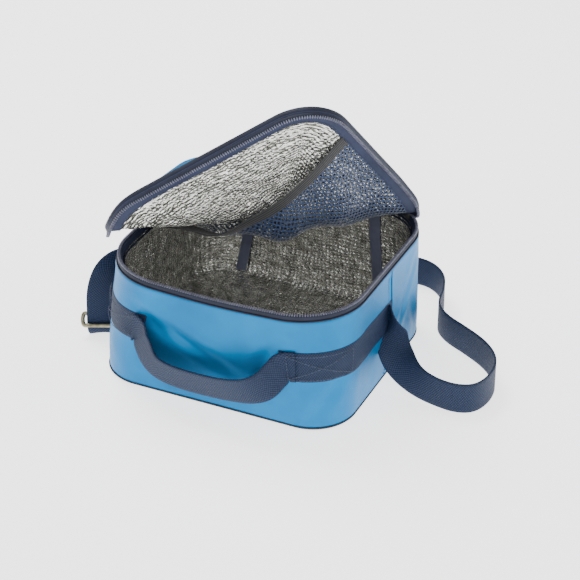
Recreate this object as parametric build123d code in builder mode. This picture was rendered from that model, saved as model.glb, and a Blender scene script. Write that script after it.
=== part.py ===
"""Soft insulated lunch cooler: padded body, zipped lid folded open across one corner, webbing handle and strap.

Millimetres. The origin is the middle of the underside, +X runs to the right along the front,
+Y to the back, where the lid is hinged, and +Z up. Lid pieces are drawn in the closed lid's place,
on planes that are then turned open.
"""
from build123d import *
import math
import os

os.makedirs("parts", exist_ok=True)

# Driving dimensions of the body
WIDTH = 238.0
DEPTH = 216.0
CORNER = 48.0
BODY_TOP = 107.0
SEAM_Y = 4.0              # where the front and back wraps are sewn together, on both sides

# Layers, from outside to inside
FABRIC = 0.8
FOAM = 5.0
LINER = 0.6
BASE_PANEL = 1.2
FACING = 1.0              # binding round the inside of the rim
FACING_DEPTH = 13.0

# Zipper
TAPE_INSET = 1.0
TAPE = 1.6
TAPE_TOP = 113.0
COIL_INSET = 0.6
COIL = 2.4
COIL_HEIGHT = 1.4
TEETH_GAP = 1.8           # left between the two rows for the slider's wedge
STOP_ANGLE = 58.0         # on each back corner's arc, from +X or -X
STOP_LENGTH = 3.0

# Lid
LID_TOP = 129.0
LID_BOTTOM = 123.0
HINGE_Y = 107.0
HINGE_Z = 115.5
LID_OPEN = 5.0            # degrees, at rest
FOLD_OPEN = 64.0
FOLD_BACK = (112, 86)
FOLD_FRONT = (-120, -95)
FOLD_GAP = 3.5            # each side of the crease
FOLD_Z = (LID_TOP + LID_BOTTOM) / 2
BORDER_WIDTH = 13.0
POCKET_MOUTH = -30.0
ELASTIC_WIDTH = 8.0

# Webbing
WEBBING_WIDTH = 30.0
WEBBING = 1.8
BAND_LOW = 49.0
SEWN_TO = 65.0            # the sewn bands stop here, and the free loop starts
LOOP_REACH = 20.0
LOOP_DROP = 29.0

REACH = 400.0             # larger than the object, for cutting

outer = (WIDTH, DEPTH, CORNER)
corner_x = WIDTH / 2 - CORNER
corner_y = DEPTH / 2 - CORNER
foam_out = FABRIC
foam_in = FABRIC + FOAM
liner_in = foam_in + LINER
base_foam_low = BASE_PANEL
base_liner_low = BASE_PANEL + FOAM
wall_liner_low = base_liner_low + LINER
facing_low = BODY_TOP - FACING_DEPTH
body_coil_top = TAPE_TOP + COIL_HEIGHT
lid_coil_low = body_coil_top + TEETH_GAP
lid_coil_top = lid_coil_low + COIL_HEIGHT
band_high = BAND_LOW + WEBBING_WIDTH


def keep(part, name):
    """Label a finished piece and write it."""
    part.label = name
    export_step(part, f"parts/{name}.step")


def outline(inset, mode=Mode.ADD):
    """The bag's rounded plan shape, drawn in from the outside by an inset."""
    RectangleRounded(WIDTH - 2 * inset, DEPTH - 2 * inset, CORNER - inset, mode=mode)


def front_side(y):
    """Everything in front of a line across the bag."""
    return [(-REACH, -REACH), (REACH, -REACH), (REACH, y), (-REACH, y)]


def back_side(y):
    """Everything behind a line across the bag."""
    return [(-REACH, y), (REACH, y), (REACH, REACH), (-REACH, REACH)]


def back_wedge(angle):
    """The region between the two back corners' radii at an angle from the sides."""
    out_x = REACH * math.cos(math.radians(angle))
    out_y = REACH * math.sin(math.radians(angle))
    return [
        (corner_x, corner_y),
        (corner_x + out_x, corner_y + out_y),
        (-corner_x - out_x, corner_y + out_y),
        (-corner_x, corner_y),
    ]


def slab(low, high, inset, inner=None, within=None, without=None, plane=Plane.XY):
    """A plate, or with an inner inset a ring, of the bag's plan shape between two heights."""
    with BuildPart() as piece:
        with BuildSketch(plane.offset(low)):
            outline(inset)
            if inner is not None:
                outline(inner, mode=Mode.SUBTRACT)
            if within is not None:
                Polygon(*within, align=None, mode=Mode.INTERSECT)
            if without is not None:
                Polygon(*without, align=None, mode=Mode.SUBTRACT)
        extrude(amount=high - low)
    return piece.part


def corner_band(low, high, radius_in, radius_out, middle, half):
    """A piece of ring about the back right corner's centre, either side of an angle."""
    start = math.radians(middle - half)
    end = math.radians(middle + half)
    wedge = [
        (corner_x, corner_y),
        (corner_x + REACH * math.cos(start), corner_y + REACH * math.sin(start)),
        (corner_x + REACH * math.cos(end), corner_y + REACH * math.sin(end)),
    ]
    with BuildPart() as piece:
        with BuildSketch(Plane.XY.offset(low)):
            with Locations((corner_x, corner_y)):
                Circle(radius_out)
                Circle(radius_in, mode=Mode.SUBTRACT)
            Polygon(*wedge, align=None, mode=Mode.INTERSECT)
        extrude(amount=high - low)
    return piece.part


# Base: outer panel, foam and foil, stacked
keep(slab(0, BASE_PANEL, 0), "base_panel")
keep(slab(base_foam_low, base_liner_low, foam_out), "base_foam")
keep(slab(base_liner_low, wall_liner_low, foam_in), "base_liner")

# Walls: the front wrap goes round both front corners and the back wrap round both back ones
for side, half_plan in (("front", front_side(SEAM_Y)), ("back", back_side(SEAM_Y))):
    keep(slab(BASE_PANEL, BODY_TOP, 0, FABRIC, within=half_plan), f"outer_{side}_wrap")
    keep(slab(base_liner_low, BODY_TOP, foam_out, foam_in, within=half_plan), f"wall_foam_{side}")

# Foil liner: a back panel between two bound seams, and one wrap for the rest
LINER_SEAM_X = 68.0
BINDING_WIDTH = 11.0
BINDING = 1.0
back_panel_plan = [
    (-LINER_SEAM_X, 0),
    (LINER_SEAM_X, 0),
    (LINER_SEAM_X, REACH),
    (-LINER_SEAM_X, REACH),
]
keep(
    slab(wall_liner_low, facing_low, foam_in, liner_in, within=back_panel_plan),
    "liner_back_panel",
)
keep(
    slab(wall_liner_low, facing_low, foam_in, liner_in, without=back_panel_plan),
    "liner_front_wrap",
)
liner_face_y = DEPTH / 2 - liner_in
for side, sign in (("left", -1), ("right", 1)):
    with BuildPart() as liner_binding:
        with BuildSketch(Plane.XY.offset(wall_liner_low)):
            with Locations((sign * (LINER_SEAM_X - BINDING_WIDTH / 2 + 2), liner_face_y)):
                Rectangle(BINDING_WIDTH, BINDING, align=(Align.CENTER, Align.MAX))
        extrude(amount=facing_low - wall_liner_low)
    keep(liner_binding.part, f"liner_binding_{side}")

keep(slab(facing_low, BODY_TOP, foam_in, foam_in + FACING), "rim_facing")

# The body's half of the zipper, open across the hinge
keep(slab(BODY_TOP, TAPE_TOP, TAPE_INSET, TAPE_INSET + TAPE), "zipper_tape_body")
keep(
    slab(TAPE_TOP, body_coil_top, COIL_INSET, COIL_INSET + COIL, without=back_wedge(STOP_ANGLE)),
    "zipper_coil_body",
)
stop_end = STOP_ANGLE + STOP_LENGTH
with BuildPart() as zipper_stops:
    with BuildSketch(Plane.XY.offset(TAPE_TOP)):
        outline(COIL_INSET)
        outline(COIL_INSET + COIL, mode=Mode.SUBTRACT)
        Polygon(*back_wedge(STOP_ANGLE), align=None, mode=Mode.INTERSECT)
        Polygon(*back_wedge(stop_end), align=None, mode=Mode.SUBTRACT)
    extrude(amount=COIL_HEIGHT)
keep(zipper_stops.part, "zipper_stops")
HINGE_STRIP_TOP = 115.0
keep(
    slab(TAPE_TOP, HINGE_STRIP_TOP, TAPE_INSET, TAPE_INSET + TAPE, within=back_wedge(stop_end + 1)),
    "hinge_strip",
)

# Slider: two plates astride the body's teeth, joined by a wedge above them
SLIDER_ANGLE = 52.0
SLIDER_HALF = 8.5
SLIDER_PLATE = 1.4
SLIDER_CLEAR = 0.3
SLIDER_LOW = 109.5
SLIDER_TOP = 116.0
WEDGE_HALF = 4.0
teeth_out = CORNER - COIL_INSET
teeth_in = teeth_out - COIL
plate_out = teeth_out + SLIDER_CLEAR
plate_in = teeth_in - SLIDER_CLEAR
with BuildPart() as zipper_slider:
    for low, radius_in, radius_out, half in (
        (SLIDER_LOW, plate_out, plate_out + SLIDER_PLATE, SLIDER_HALF),
        (SLIDER_LOW, plate_in - SLIDER_PLATE, plate_in, SLIDER_HALF),
        (body_coil_top + SLIDER_CLEAR, plate_in - 0.5, plate_out + 0.5, WEDGE_HALF),
    ):
        add(corner_band(low, SLIDER_TOP, radius_in, radius_out, SLIDER_ANGLE, half))
keep(zipper_slider.part, "zipper_slider")

# Pull tab: hangs straight down from a pivot just outside the slider
PULL_LENGTH = 20.0
PULL_WIDTH = 7.0
PULL = 1.4
PULL_HOLE = 1.6
pull_radius = plate_out + SLIDER_PLATE + SLIDER_CLEAR
pull_top = 114.5
slide_dir = Vector(math.cos(math.radians(SLIDER_ANGLE)), math.sin(math.radians(SLIDER_ANGLE)), 0)
tangent = Vector(-slide_dir.Y, slide_dir.X, 0)
pull_plane = Plane(
    origin=Vector(corner_x, corner_y, pull_top) + slide_dir * pull_radius,
    x_dir=tangent,
    z_dir=slide_dir,
)
with BuildPart() as zipper_pull:
    with BuildSketch(pull_plane):
        with Locations((0, -PULL_LENGTH / 2)):
            RectangleRounded(PULL_WIDTH, PULL_LENGTH, PULL_WIDTH / 2 - 0.1)
        with Locations((0, -PULL_LENGTH + 5)):
            Circle(PULL_HOLE, mode=Mode.SUBTRACT)
    extrude(amount=PULL)
keep(zipper_pull.part, "zipper_pull")
pull_pivot = pull_plane.origin + slide_dir * (PULL / 2)


# Lid planes: the closed lid's place, turned open about the back edge and folded along the crease
def turned(plane, axis, angle):
    """A plane carried round an axis by an angle in degrees."""
    return Plane(
        origin=axis.position + (plane.origin - axis.position).rotate(axis, angle),
        x_dir=plane.x_dir.rotate(axis, angle),
        z_dir=plane.z_dir.rotate(axis, angle),
    )


hinge_axis = Axis((0, HINGE_Y, HINGE_Z), (-1, 0, 0))
crease_start = Vector(*FOLD_BACK, FOLD_Z)
crease_end = Vector(*FOLD_FRONT, FOLD_Z)
crease_dir = (crease_end - crease_start).normalized()
crease_axis = Axis(crease_start, crease_dir)
to_front = Vector(-crease_dir.Y, crease_dir.X, 0)
lid_planes = {
    "rear": turned(Plane.XY, hinge_axis, LID_OPEN),
    "front": turned(turned(Plane.XY, crease_axis, FOLD_OPEN), hinge_axis, LID_OPEN),
}


def crease_side(sign):
    """The closed lid's plan on one side of the crease, leaving the gap."""
    near = to_front * (sign * FOLD_GAP)
    far = to_front * (sign * REACH)
    ends = (crease_start - crease_dir * REACH, crease_end + crease_dir * REACH)
    corners = [ends[0] + near, ends[1] + near, ends[1] + far, ends[0] + far]
    return [(corner.X, corner.Y) for corner in corners]


pocket_in = BORDER_WIDTH + FABRIC - 1
pocket_back = DEPTH / 2 - pocket_in
border_low = LID_BOTTOM - 0.4
liner_low = border_low + LINER
lid_foam_low = liner_low + LINER
lid_foam_top = LID_TOP - FABRIC
pocket_low = border_low - 0.8
elastic_low = pocket_low - 1.0


def pocket_strip(plane, side_plan, low, high, y_low, y_high):
    """A plate across the inside of the lid between two lines, stopping under the border."""
    with BuildPart() as piece:
        with BuildSketch(plane.offset(low)):
            outline(pocket_in)
            Polygon(*front_side(y_high), align=None, mode=Mode.INTERSECT)
            Polygon(*back_side(y_low), align=None, mode=Mode.INTERSECT)
            Polygon(*side_plan, align=None, mode=Mode.INTERSECT)
        extrude(amount=high - low)
    return piece.part


for side, sign in (("rear", -1), ("front", 1)):
    plane = lid_planes[side]
    plan = crease_side(sign)
    with BuildPart() as lid_shell:
        add(slab(border_low, LID_TOP, 0, FABRIC, within=plan, plane=plane))
        add(slab(lid_foam_top, LID_TOP, 0, within=plan, plane=plane))
    keep(lid_shell.part, f"lid_shell_{side}")
    keep(slab(lid_foam_low, lid_foam_top, FABRIC, within=plan, plane=plane), f"lid_foam_{side}")
    keep(slab(liner_low, lid_foam_low, FABRIC, within=plan, plane=plane), f"lid_liner_{side}")
    keep(
        slab(border_low, liner_low, FABRIC, FABRIC + BORDER_WIDTH, within=plan, plane=plane),
        f"lid_border_{side}",
    )
    keep(
        slab(lid_coil_top, border_low, TAPE_INSET, TAPE_INSET + TAPE, within=plan, plane=plane),
        f"zipper_tape_lid_{side}",
    )
    keep(
        slab(
            lid_coil_low,
            lid_coil_top,
            COIL_INSET,
            COIL_INSET + COIL,
            within=plan,
            without=back_wedge(STOP_ANGLE),
            plane=plane,
        ),
        f"zipper_coil_lid_{side}",
    )
    keep(
        pocket_strip(plane, plan, pocket_low, border_low, POCKET_MOUTH, pocket_back),
        f"mesh_pocket_{side}",
    )
    half_elastic = ELASTIC_WIDTH / 2
    keep(
        pocket_strip(
            plane, plan, elastic_low, pocket_low, POCKET_MOUTH - half_elastic, POCKET_MOUTH + half_elastic
        ),
        f"pocket_elastic_{side}",
    )

# Webbing sewn flat round the front corners, from the side seams to the handle's ends
for side, sign in (("left", -1), ("right", 1)):
    with BuildPart() as handle_band:
        with BuildSketch(Plane.XY.offset(BAND_LOW)):
            outline(-WEBBING)
            outline(0, mode=Mode.SUBTRACT)
            Polygon(*front_side(SEAM_Y), align=None, mode=Mode.INTERSECT)
            with Locations((sign * SEWN_TO, 0)):
                Rectangle(
                    REACH,
                    2 * REACH,
                    align=(Align.MIN if sign > 0 else Align.MAX, Align.CENTER),
                    mode=Mode.INTERSECT,
                )
        extrude(amount=WEBBING_WIDTH)
    keep(handle_band.part, f"handle_band_{side}")

# Free loop of the handle: a bowed band in plan, cut to a hanging band in elevation
LOOP_CLEAR = 0.4
loop_end_y = -DEPTH / 2 - WEBBING - LOOP_CLEAR
loop_bow_y = loop_end_y - LOOP_REACH
loop_end_x = SEWN_TO - 0.5
LOOP_END_DROP = 1.0
with BuildPart() as handle_loop:
    with BuildSketch(Plane.XY):
        with BuildLine():
            inner_arc = ThreePointArc((-loop_end_x, loop_end_y), (0, loop_bow_y), (loop_end_x, loop_end_y))
            outer_arc = ThreePointArc(
                (-loop_end_x, loop_end_y - WEBBING), (0, loop_bow_y - WEBBING), (loop_end_x, loop_end_y - WEBBING)
            )
            Line(inner_arc @ 0, outer_arc @ 0)
            Line(inner_arc @ 1, outer_arc @ 1)
        make_face()
    extrude(amount=band_high + 1)
    with BuildSketch(Plane.XZ.offset(-REACH / 4)):
        with BuildLine():
            top_arc = ThreePointArc(
                (-loop_end_x, band_high - LOOP_END_DROP),
                (0, band_high - LOOP_END_DROP - LOOP_DROP),
                (loop_end_x, band_high - LOOP_END_DROP),
            )
            low_arc = ThreePointArc(
                (-loop_end_x, BAND_LOW - LOOP_END_DROP),
                (0, BAND_LOW - LOOP_END_DROP - LOOP_DROP),
                (loop_end_x, BAND_LOW - LOOP_END_DROP),
            )
            Line(top_arc @ 0, low_arc @ 0)
            Line(top_arc @ 1, low_arc @ 1)
        make_face()
    extrude(amount=REACH, mode=Mode.INTERSECT)
keep(handle_loop.part, "handle_loop")

# Shoulder strap. The right part stands on its edge: from the right seam down to the floor, out in
# a loop and round behind the bag. There it turns flat, and the left part lies along the back and
# the left side, then rises through the adjuster to the left seam.
strap_right_route = [
    (122, 4), (124, -6), (132, -14), (150, -19), (173, -26), (196, -28), (212, -20),
    (219, 2), (215, 27), (198, 48), (172, 64), (148, 76), (133, 93), (130, 117),
    (121, 143), (103, 160), (82, 163), (60, 155), (34, 146),
]
TOUCHDOWN_X = 173.0
near_plan = [(0, -60), (TOUCHDOWN_X, -60), (TOUCHDOWN_X, 15), (0, 15)]
fall_upper = [(118, 79), (126, 76), (140, 58), (154, 41), (TOUCHDOWN_X, WEBBING_WIDTH)]
fall_lower = [(TOUCHDOWN_X, 0), (154, 8), (138, 24), (126, 44), (118, BAND_LOW)]
strap_flat_route = [
    (33.8, 146), (0, 141), (-38, 143), (-76, 142), (-110, 134), (-136, 110),
    (-149, 78), (-153, 42), (-152, 8), (-147, -20), (-141, -45),
]
DROP_CENTRE = (-143.5, -46.0)
DROP_TURN = 25.0          # degrees between the strap's width and the X axis where it hangs
strap_seam_route = [(-122.2, SEAM_Y), (-123.5, -12), (-129.9, -39.7)]


def corner_radii(points, share=0.45):
    """The arc at each inner point of a route, as large as its two runs allow."""
    radii = []
    for before, here, after in zip(points, points[1:], points[2:]):
        run_in = Vector(*here) - Vector(*before)
        run_out = Vector(*after) - Vector(*here)
        half_turn = math.radians(run_in.get_angle(run_out)) / 2
        radii.append(share * min(run_in.length, run_out.length) / math.tan(half_turn))
    return radii


def route_length(name, points):
    """Print a route's arcs and its length in plan."""
    with BuildLine() as route:
        FilletPolyline(*points, radius=corner_radii(points))
    length = sum(edge.length for edge in route.line.edges())
    print(name, "radii", [round(radius) for radius in corner_radii(points)], "length", round(length))
    return length


def band_plan(points, width):
    """Add a band of even width along a route to the open sketch."""
    with BuildLine() as route:
        FilletPolyline(*points, radius=corner_radii(points))
    trace(route.line, line_width=width)


with BuildPart() as shoulder_strap_right:
    with BuildSketch(Plane.XY):
        band_plan(strap_right_route, WEBBING)
        Polygon(*near_plan, align=None, mode=Mode.INTERSECT)
    extrude(amount=band_high)
    with BuildSketch(Plane.XZ.offset(-REACH / 4)):
        Polygon(*fall_upper, *fall_lower, align=None)
    extrude(amount=REACH / 2, mode=Mode.INTERSECT)
    with BuildSketch(Plane.XY):
        band_plan(strap_right_route, WEBBING)
        Polygon(*near_plan, align=None, mode=Mode.SUBTRACT)
    extrude(amount=WEBBING_WIDTH)
keep(shoulder_strap_right.part, "shoulder_strap_right")

drop_x = Vector(math.cos(math.radians(DROP_TURN)), math.sin(math.radians(DROP_TURN)), 0)
drop_plane = Plane(origin=(*DROP_CENTRE, 0), x_dir=drop_x, z_dir=drop_x.cross(Vector(0, 0, 1)))
with BuildPart() as shoulder_strap_left:
    with BuildSketch(Plane.XY):
        band_plan(strap_flat_route, WEBBING_WIDTH)
    extrude(amount=WEBBING)
    with BuildSketch(drop_plane):
        with Locations((0, WEBBING)):
            Rectangle(WEBBING_WIDTH, band_high - WEBBING, align=(Align.CENTER, Align.MIN))
    extrude(amount=WEBBING / 2, both=True)
    with BuildSketch(Plane.XY.offset(BAND_LOW)):
        band_plan(strap_seam_route, WEBBING)
    extrude(amount=WEBBING_WIDTH)
keep(shoulder_strap_left.part, "shoulder_strap_left")

# Strap adjuster: a bar before the strap and one behind it, joined at both ends
BAR_RADIUS = 2.0
BAR_CLEAR = 0.5
FRONT_BAR_Z = 12.0
BACK_BAR_Z = 21.0
LINK = 3.0
link_start = WEBBING_WIDTH / 2 + 0.6
bar_offset = WEBBING / 2 + BAR_CLEAR + BAR_RADIUS
link_tilt = math.degrees(math.atan2(2 * bar_offset, BACK_BAR_Z - FRONT_BAR_Z))
link_length = math.hypot(2 * bar_offset, BACK_BAR_Z - FRONT_BAR_Z)
side_plane = Plane(origin=drop_plane.origin, x_dir=drop_plane.z_dir, z_dir=-drop_plane.x_dir)
with BuildPart() as strap_adjuster:
    for height, distance in ((FRONT_BAR_Z, bar_offset), (BACK_BAR_Z, -bar_offset)):
        with BuildSketch(side_plane):
            with Locations((distance, height)):
                Circle(BAR_RADIUS)
        extrude(amount=link_start + LINK / 2, both=True)
    for direction in (-1, 1):
        with BuildSketch(side_plane.offset(direction * link_start)):
            with Locations(Location((0, (FRONT_BAR_Z + BACK_BAR_Z) / 2, 0), (0, 0, 90 + link_tilt))):
                SlotCenterToCenter(link_length, 2 * BAR_RADIUS + 0.6)
        extrude(amount=direction * LINK)
keep(strap_adjuster.part, "strap_adjuster")

# Facts for the moving parts and the strap
route_length("strap upright", strap_right_route)
route_length("strap flat", strap_flat_route)
route_length("strap at left seam", strap_seam_route)
rest_crease = turned(Plane(origin=crease_start, x_dir=crease_dir, z_dir=(0, 0, 1)), hinge_axis, LID_OPEN)
print("crease at rest", rest_crease.origin, rest_crease.x_dir)
print("pull pivot", pull_pivot, "axis", tangent)
print("handle pivot y", loop_end_y, "z", band_high)
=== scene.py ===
"""The looks of a small soft insulated cooler bag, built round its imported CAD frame.

Working units are millimetres, in the CAD's own frame, until a mesh is made. Lid pieces are shaped on
the closed lid and then folded open by the same hinge and crease as the two lid bodies.
"""
import math

import bmesh
import bpy
import numpy as np
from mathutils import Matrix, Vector, noise


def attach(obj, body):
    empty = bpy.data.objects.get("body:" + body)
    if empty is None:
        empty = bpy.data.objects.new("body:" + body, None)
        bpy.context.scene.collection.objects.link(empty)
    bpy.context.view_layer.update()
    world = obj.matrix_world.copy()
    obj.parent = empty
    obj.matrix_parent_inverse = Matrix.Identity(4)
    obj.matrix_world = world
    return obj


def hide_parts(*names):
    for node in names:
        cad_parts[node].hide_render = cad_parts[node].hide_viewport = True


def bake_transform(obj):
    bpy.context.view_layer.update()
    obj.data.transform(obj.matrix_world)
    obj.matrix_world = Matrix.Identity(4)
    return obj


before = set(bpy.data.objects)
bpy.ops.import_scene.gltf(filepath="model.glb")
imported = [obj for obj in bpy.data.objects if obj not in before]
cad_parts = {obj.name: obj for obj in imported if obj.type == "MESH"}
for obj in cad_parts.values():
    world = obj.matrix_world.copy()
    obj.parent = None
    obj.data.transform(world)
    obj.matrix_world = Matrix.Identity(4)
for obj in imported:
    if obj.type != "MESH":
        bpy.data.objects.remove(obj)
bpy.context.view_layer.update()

MM = 0.001
UP = np.array([0.0, 0.0, 1.0])

# The bag's plan and heights
BODY_TOP = 107.0
COIL_Z = 113.6
LINER_INSET = 6.8
FLOOR_Z = 7.5
FLOOR_MIDDLE = 108.4       # the inset at which rings of the floor close up
SEAM_Y = 4.0
SIDE_X, SIDE_Y, CORNER_STEPS = 40, 36, 18

# The lid, closed
LID_WIDTH, LID_DEPTH, LID_CORNER = 239.0, 216.0, 46.0
LID_MIDDLE = 107.95        # the inset at which rings of the lid close up
BORDER = 13.5
POCKET_MOUTH, POCKET_BACK = -20.0, 95.0
MOUTH_SWEEP = 26.0         # the elastic is sewn this much further forward at its ends
NET_SLACK = 13.5
HINGE = np.array([0.0, 107.0, 115.5])
CREASE_BACK = np.array([112.0, 86.0, 126.0])
CREASE_FRONT = np.array([-120.0, -95.0, 126.0])
LID_OPEN = math.radians(5)
FOLD_OPEN = math.radians(64)
FOLD_REACH = 38.0         # the crease bends the cloth over this far on each side

# Webbing
WEBBING_WIDTH, WEBBING = 30.0, 1.8
BAND_Z = 64.0


# ---------------------------------------------------------------- camera, floor and light

def place_camera(azimuth, elevation, distance, target, lens):
    a, e = math.radians(azimuth), math.radians(elevation)
    back = Vector((math.sin(a) * math.cos(e), -math.cos(a) * math.cos(e), math.sin(e)))
    camera = bpy.data.objects.new("camera", bpy.data.cameras.new("camera"))
    camera.data.lens = lens
    camera.location = Vector(target) + back * distance
    camera.rotation_euler = (-back).to_track_quat("-Z", "Y").to_euler()
    bpy.context.scene.collection.objects.link(camera)
    bpy.context.scene.camera = camera


def area_light(name, location, target, size, energy):
    lamp = bpy.data.lights.new(name, "AREA")
    lamp.shape = "DISK"
    lamp.size = size
    lamp.energy = energy
    light = bpy.data.objects.new(name, lamp)
    light.location = location
    aim = Vector(target) - Vector(location)
    light.rotation_euler = aim.to_track_quat("-Z", "Y").to_euler()
    bpy.context.scene.collection.objects.link(light)


place_camera(azimuth=25, elevation=31, distance=1.7, target=(0.0256, 0, 0.066), lens=117.5)
area_light("key", (-0.7, 0.5, 1.5), (0, 0, 0.05), 0.8, 22)
area_light("front_fill", (0.9, -1.6, 1.2), (0, 0, 0.05), 1.3, 12)
area_light("side_fill", (1.6, 0.6, 1.0), (0, 0, 0.05), 1.0, 6)
world = bpy.data.worlds.new("studio")
bpy.context.scene.world = world
world.use_nodes = True
world.node_tree.nodes["Background"].inputs["Color"].default_value = (1, 1, 1, 1)
world.node_tree.nodes["Background"].inputs["Strength"].default_value = 0.7


# ---------------------------------------------------------------- materials

def srgb(red, green, blue):
    """A colour given in 0 to 255 screen values, as linear RGBA."""
    def linear(value):
        value /= 255
        return value / 12.92 if value <= 0.04045 else ((value + 0.055) / 1.055) ** 2.4
    return (linear(red), linear(green), linear(blue), 1.0)


class Nodes:
    """A short way to write a node tree that feeds one Principled shader."""

    def __init__(self, name, roughness, metallic=0.0, **sockets):
        self.material = bpy.data.materials.new(name)
        self.material.use_nodes = True
        self.tree = self.material.node_tree
        self.shader = self.tree.nodes["Principled BSDF"]
        self.shader.inputs["Roughness"].default_value = roughness
        self.shader.inputs["Metallic"].default_value = metallic
        for socket, value in sockets.items():
            self.shader.inputs[socket.replace("_", " ")].default_value = value

    def link(self, value, socket):
        if isinstance(value, bpy.types.NodeSocket):
            self.tree.links.new(value, socket)
        else:
            socket.default_value = value

    def uv(self, scale=1.0):
        node = self.tree.nodes.new("ShaderNodeTexCoord")
        return self.vector("MULTIPLY", node.outputs["UV"], (scale, scale, scale))

    def solid(self, scale=1.0):
        node = self.tree.nodes.new("ShaderNodeTexCoord")
        return self.vector("MULTIPLY", node.outputs["Object"], (scale, scale, scale))

    def vector(self, operation, first, second):
        node = self.tree.nodes.new("ShaderNodeVectorMath")
        node.operation = operation
        self.link(first, node.inputs[0])
        self.link(second, node.inputs[1])
        return node.outputs[0]

    def math(self, operation, first, second=0.0):
        node = self.tree.nodes.new("ShaderNodeMath")
        node.operation = operation
        self.link(first, node.inputs[0])
        self.link(second, node.inputs[1])
        return node.outputs[0]

    def axes(self, vector):
        node = self.tree.nodes.new("ShaderNodeSeparateXYZ")
        self.link(vector, node.inputs[0])
        return node.outputs["X"], node.outputs["Y"], node.outputs["Z"]

    def noise(self, vector, scale, detail=3.0, roughness=0.5):
        node = self.tree.nodes.new("ShaderNodeTexNoise")
        self.link(vector, node.inputs["Vector"])
        node.inputs["Scale"].default_value = scale
        node.inputs["Detail"].default_value = detail
        node.inputs["Roughness"].default_value = roughness
        return node.outputs["Fac"]

    def noise_vector(self, vector, scale):
        node = self.tree.nodes.new("ShaderNodeTexNoise")
        self.link(vector, node.inputs["Vector"])
        node.inputs["Scale"].default_value = scale
        node.inputs["Detail"].default_value = 2.0
        return self.vector("SUBTRACT", node.outputs["Color"], (0.5, 0.5, 0.5))

    def cells(self, vector, scale, feature="F1"):
        node = self.tree.nodes.new("ShaderNodeTexVoronoi")
        node.feature = feature
        self.link(vector, node.inputs["Vector"])
        node.inputs["Scale"].default_value = scale
        return node.outputs["Distance"]

    def ramp(self, factor, low, high, start=0.0, end=1.0):
        node = self.tree.nodes.new("ShaderNodeValToRGB")
        self.link(factor, node.inputs["Fac"])
        node.color_ramp.elements[0].position = start
        node.color_ramp.elements[0].color = low
        node.color_ramp.elements[1].position = end
        node.color_ramp.elements[1].color = high
        return node.outputs["Color"]

    def color(self, value):
        self.link(value, self.shader.inputs["Base Color"])

    def bump(self, height, distance, strength=1.0, under=None):
        node = self.tree.nodes.new("ShaderNodeBump")
        node.inputs["Strength"].default_value = strength
        node.inputs["Distance"].default_value = distance
        self.link(height, node.inputs["Height"])
        if under is not None:
            self.link(under, node.inputs["Normal"])
        self.link(node.outputs["Normal"], self.shader.inputs["Normal"])
        return node.outputs["Normal"]

    def wave(self, coordinate, pitch):
        """A sine of a length in metres, from 0 to 1 and back over each pitch."""
        turn = self.math("SINE", self.math("MULTIPLY", coordinate, math.tau / pitch))
        return self.math("ADD", self.math("MULTIPLY", turn, 0.5), 0.5)


def coated_fabric(name, dark, light, pitch=0.0006):
    """Satin coated cloth: a fine plain weave, soft mottling and a little sheen."""
    n = Nodes(name, 0.42, metallic=0.4, Specular_IOR_Level=0.15)
    place = n.solid()
    n.color(n.ramp(n.noise(place, 22, 4), dark, light, 0.3, 0.7))
    u, v, _ = n.axes(n.uv())
    weave = n.math("MULTIPLY", n.wave(u, pitch), n.wave(v, pitch))
    soft = n.bump(n.noise(place, 60, 3), 0.0006, 0.35)
    n.bump(weave, 0.00008, 0.5, under=soft)
    return n.material


def webbing_fabric(name, dark, light):
    """Coarse basket-woven webbing: warp ribs along it, each crossed by the weft in turn."""
    n = Nodes(name, 0.62, Specular_IOR_Level=0.3)
    across, along, _ = n.axes(n.uv())
    rib, pick = 0.0030, 0.0022
    over = n.math("MULTIPLY", n.wave(across, rib), n.wave(along, pick))
    under = n.math("MULTIPLY", n.wave(n.math("ADD", across, rib / 2), rib),
                   n.wave(n.math("ADD", along, pick / 2), pick))
    basket = n.math("MAXIMUM", over, under)
    fibre = n.noise(n.uv(), 2600, 2)
    tone = n.math("ADD", n.math("MULTIPLY", basket, 0.75), n.math("MULTIPLY", fibre, 0.3))
    n.color(n.ramp(tone, dark, light, 0.1, 0.95))
    n.bump(tone, 0.0007, 0.85)
    return n.material


def tape_fabric(name, dark, light, rib=0.0011):
    """Fine woven tape or binding with narrow ribs along it."""
    n = Nodes(name, 0.6, Specular_IOR_Level=0.3)
    across, along, _ = n.axes(n.uv())
    ribs = n.math("MULTIPLY", n.wave(across, rib), n.wave(along, rib * 0.8))
    mottle = n.noise(n.solid(), 45, 4)
    tone = n.math("ADD", n.math("MULTIPLY", ribs, 0.35), n.math("MULTIPLY", mottle, 0.65))
    n.color(n.ramp(tone, dark, light, 0.2, 0.8))
    n.bump(ribs, 0.00018, 0.6)
    return n.material


def crinkled_foil(name):
    """Metallised film over thin foam: fine quilted cells, creased all over."""
    n = Nodes(name, 0.22, metallic=0.96)
    place = n.uv()
    bent = n.vector("ADD", place, n.vector("MULTIPLY", n.noise_vector(place, 55), (0.006, 0.006, 0)))
    u, v, _ = n.axes(bent)
    quilt = n.math("MULTIPLY", n.wave(u, 0.0036), n.wave(v, 0.0036))
    creases = n.cells(bent, 210, "DISTANCE_TO_EDGE")
    crumple = n.noise(place, 120, 4, 0.6)
    n.color(n.ramp(crumple, srgb(176, 176, 170), srgb(250, 250, 244), 0.3, 0.7))
    first = n.bump(crumple, 0.0038, 0.8)
    second = n.bump(n.math("MINIMUM", creases, 0.25), 0.0022, 0.8, under=first)
    n.bump(quilt, 0.0010, 0.9, under=second)
    return n.material


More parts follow.
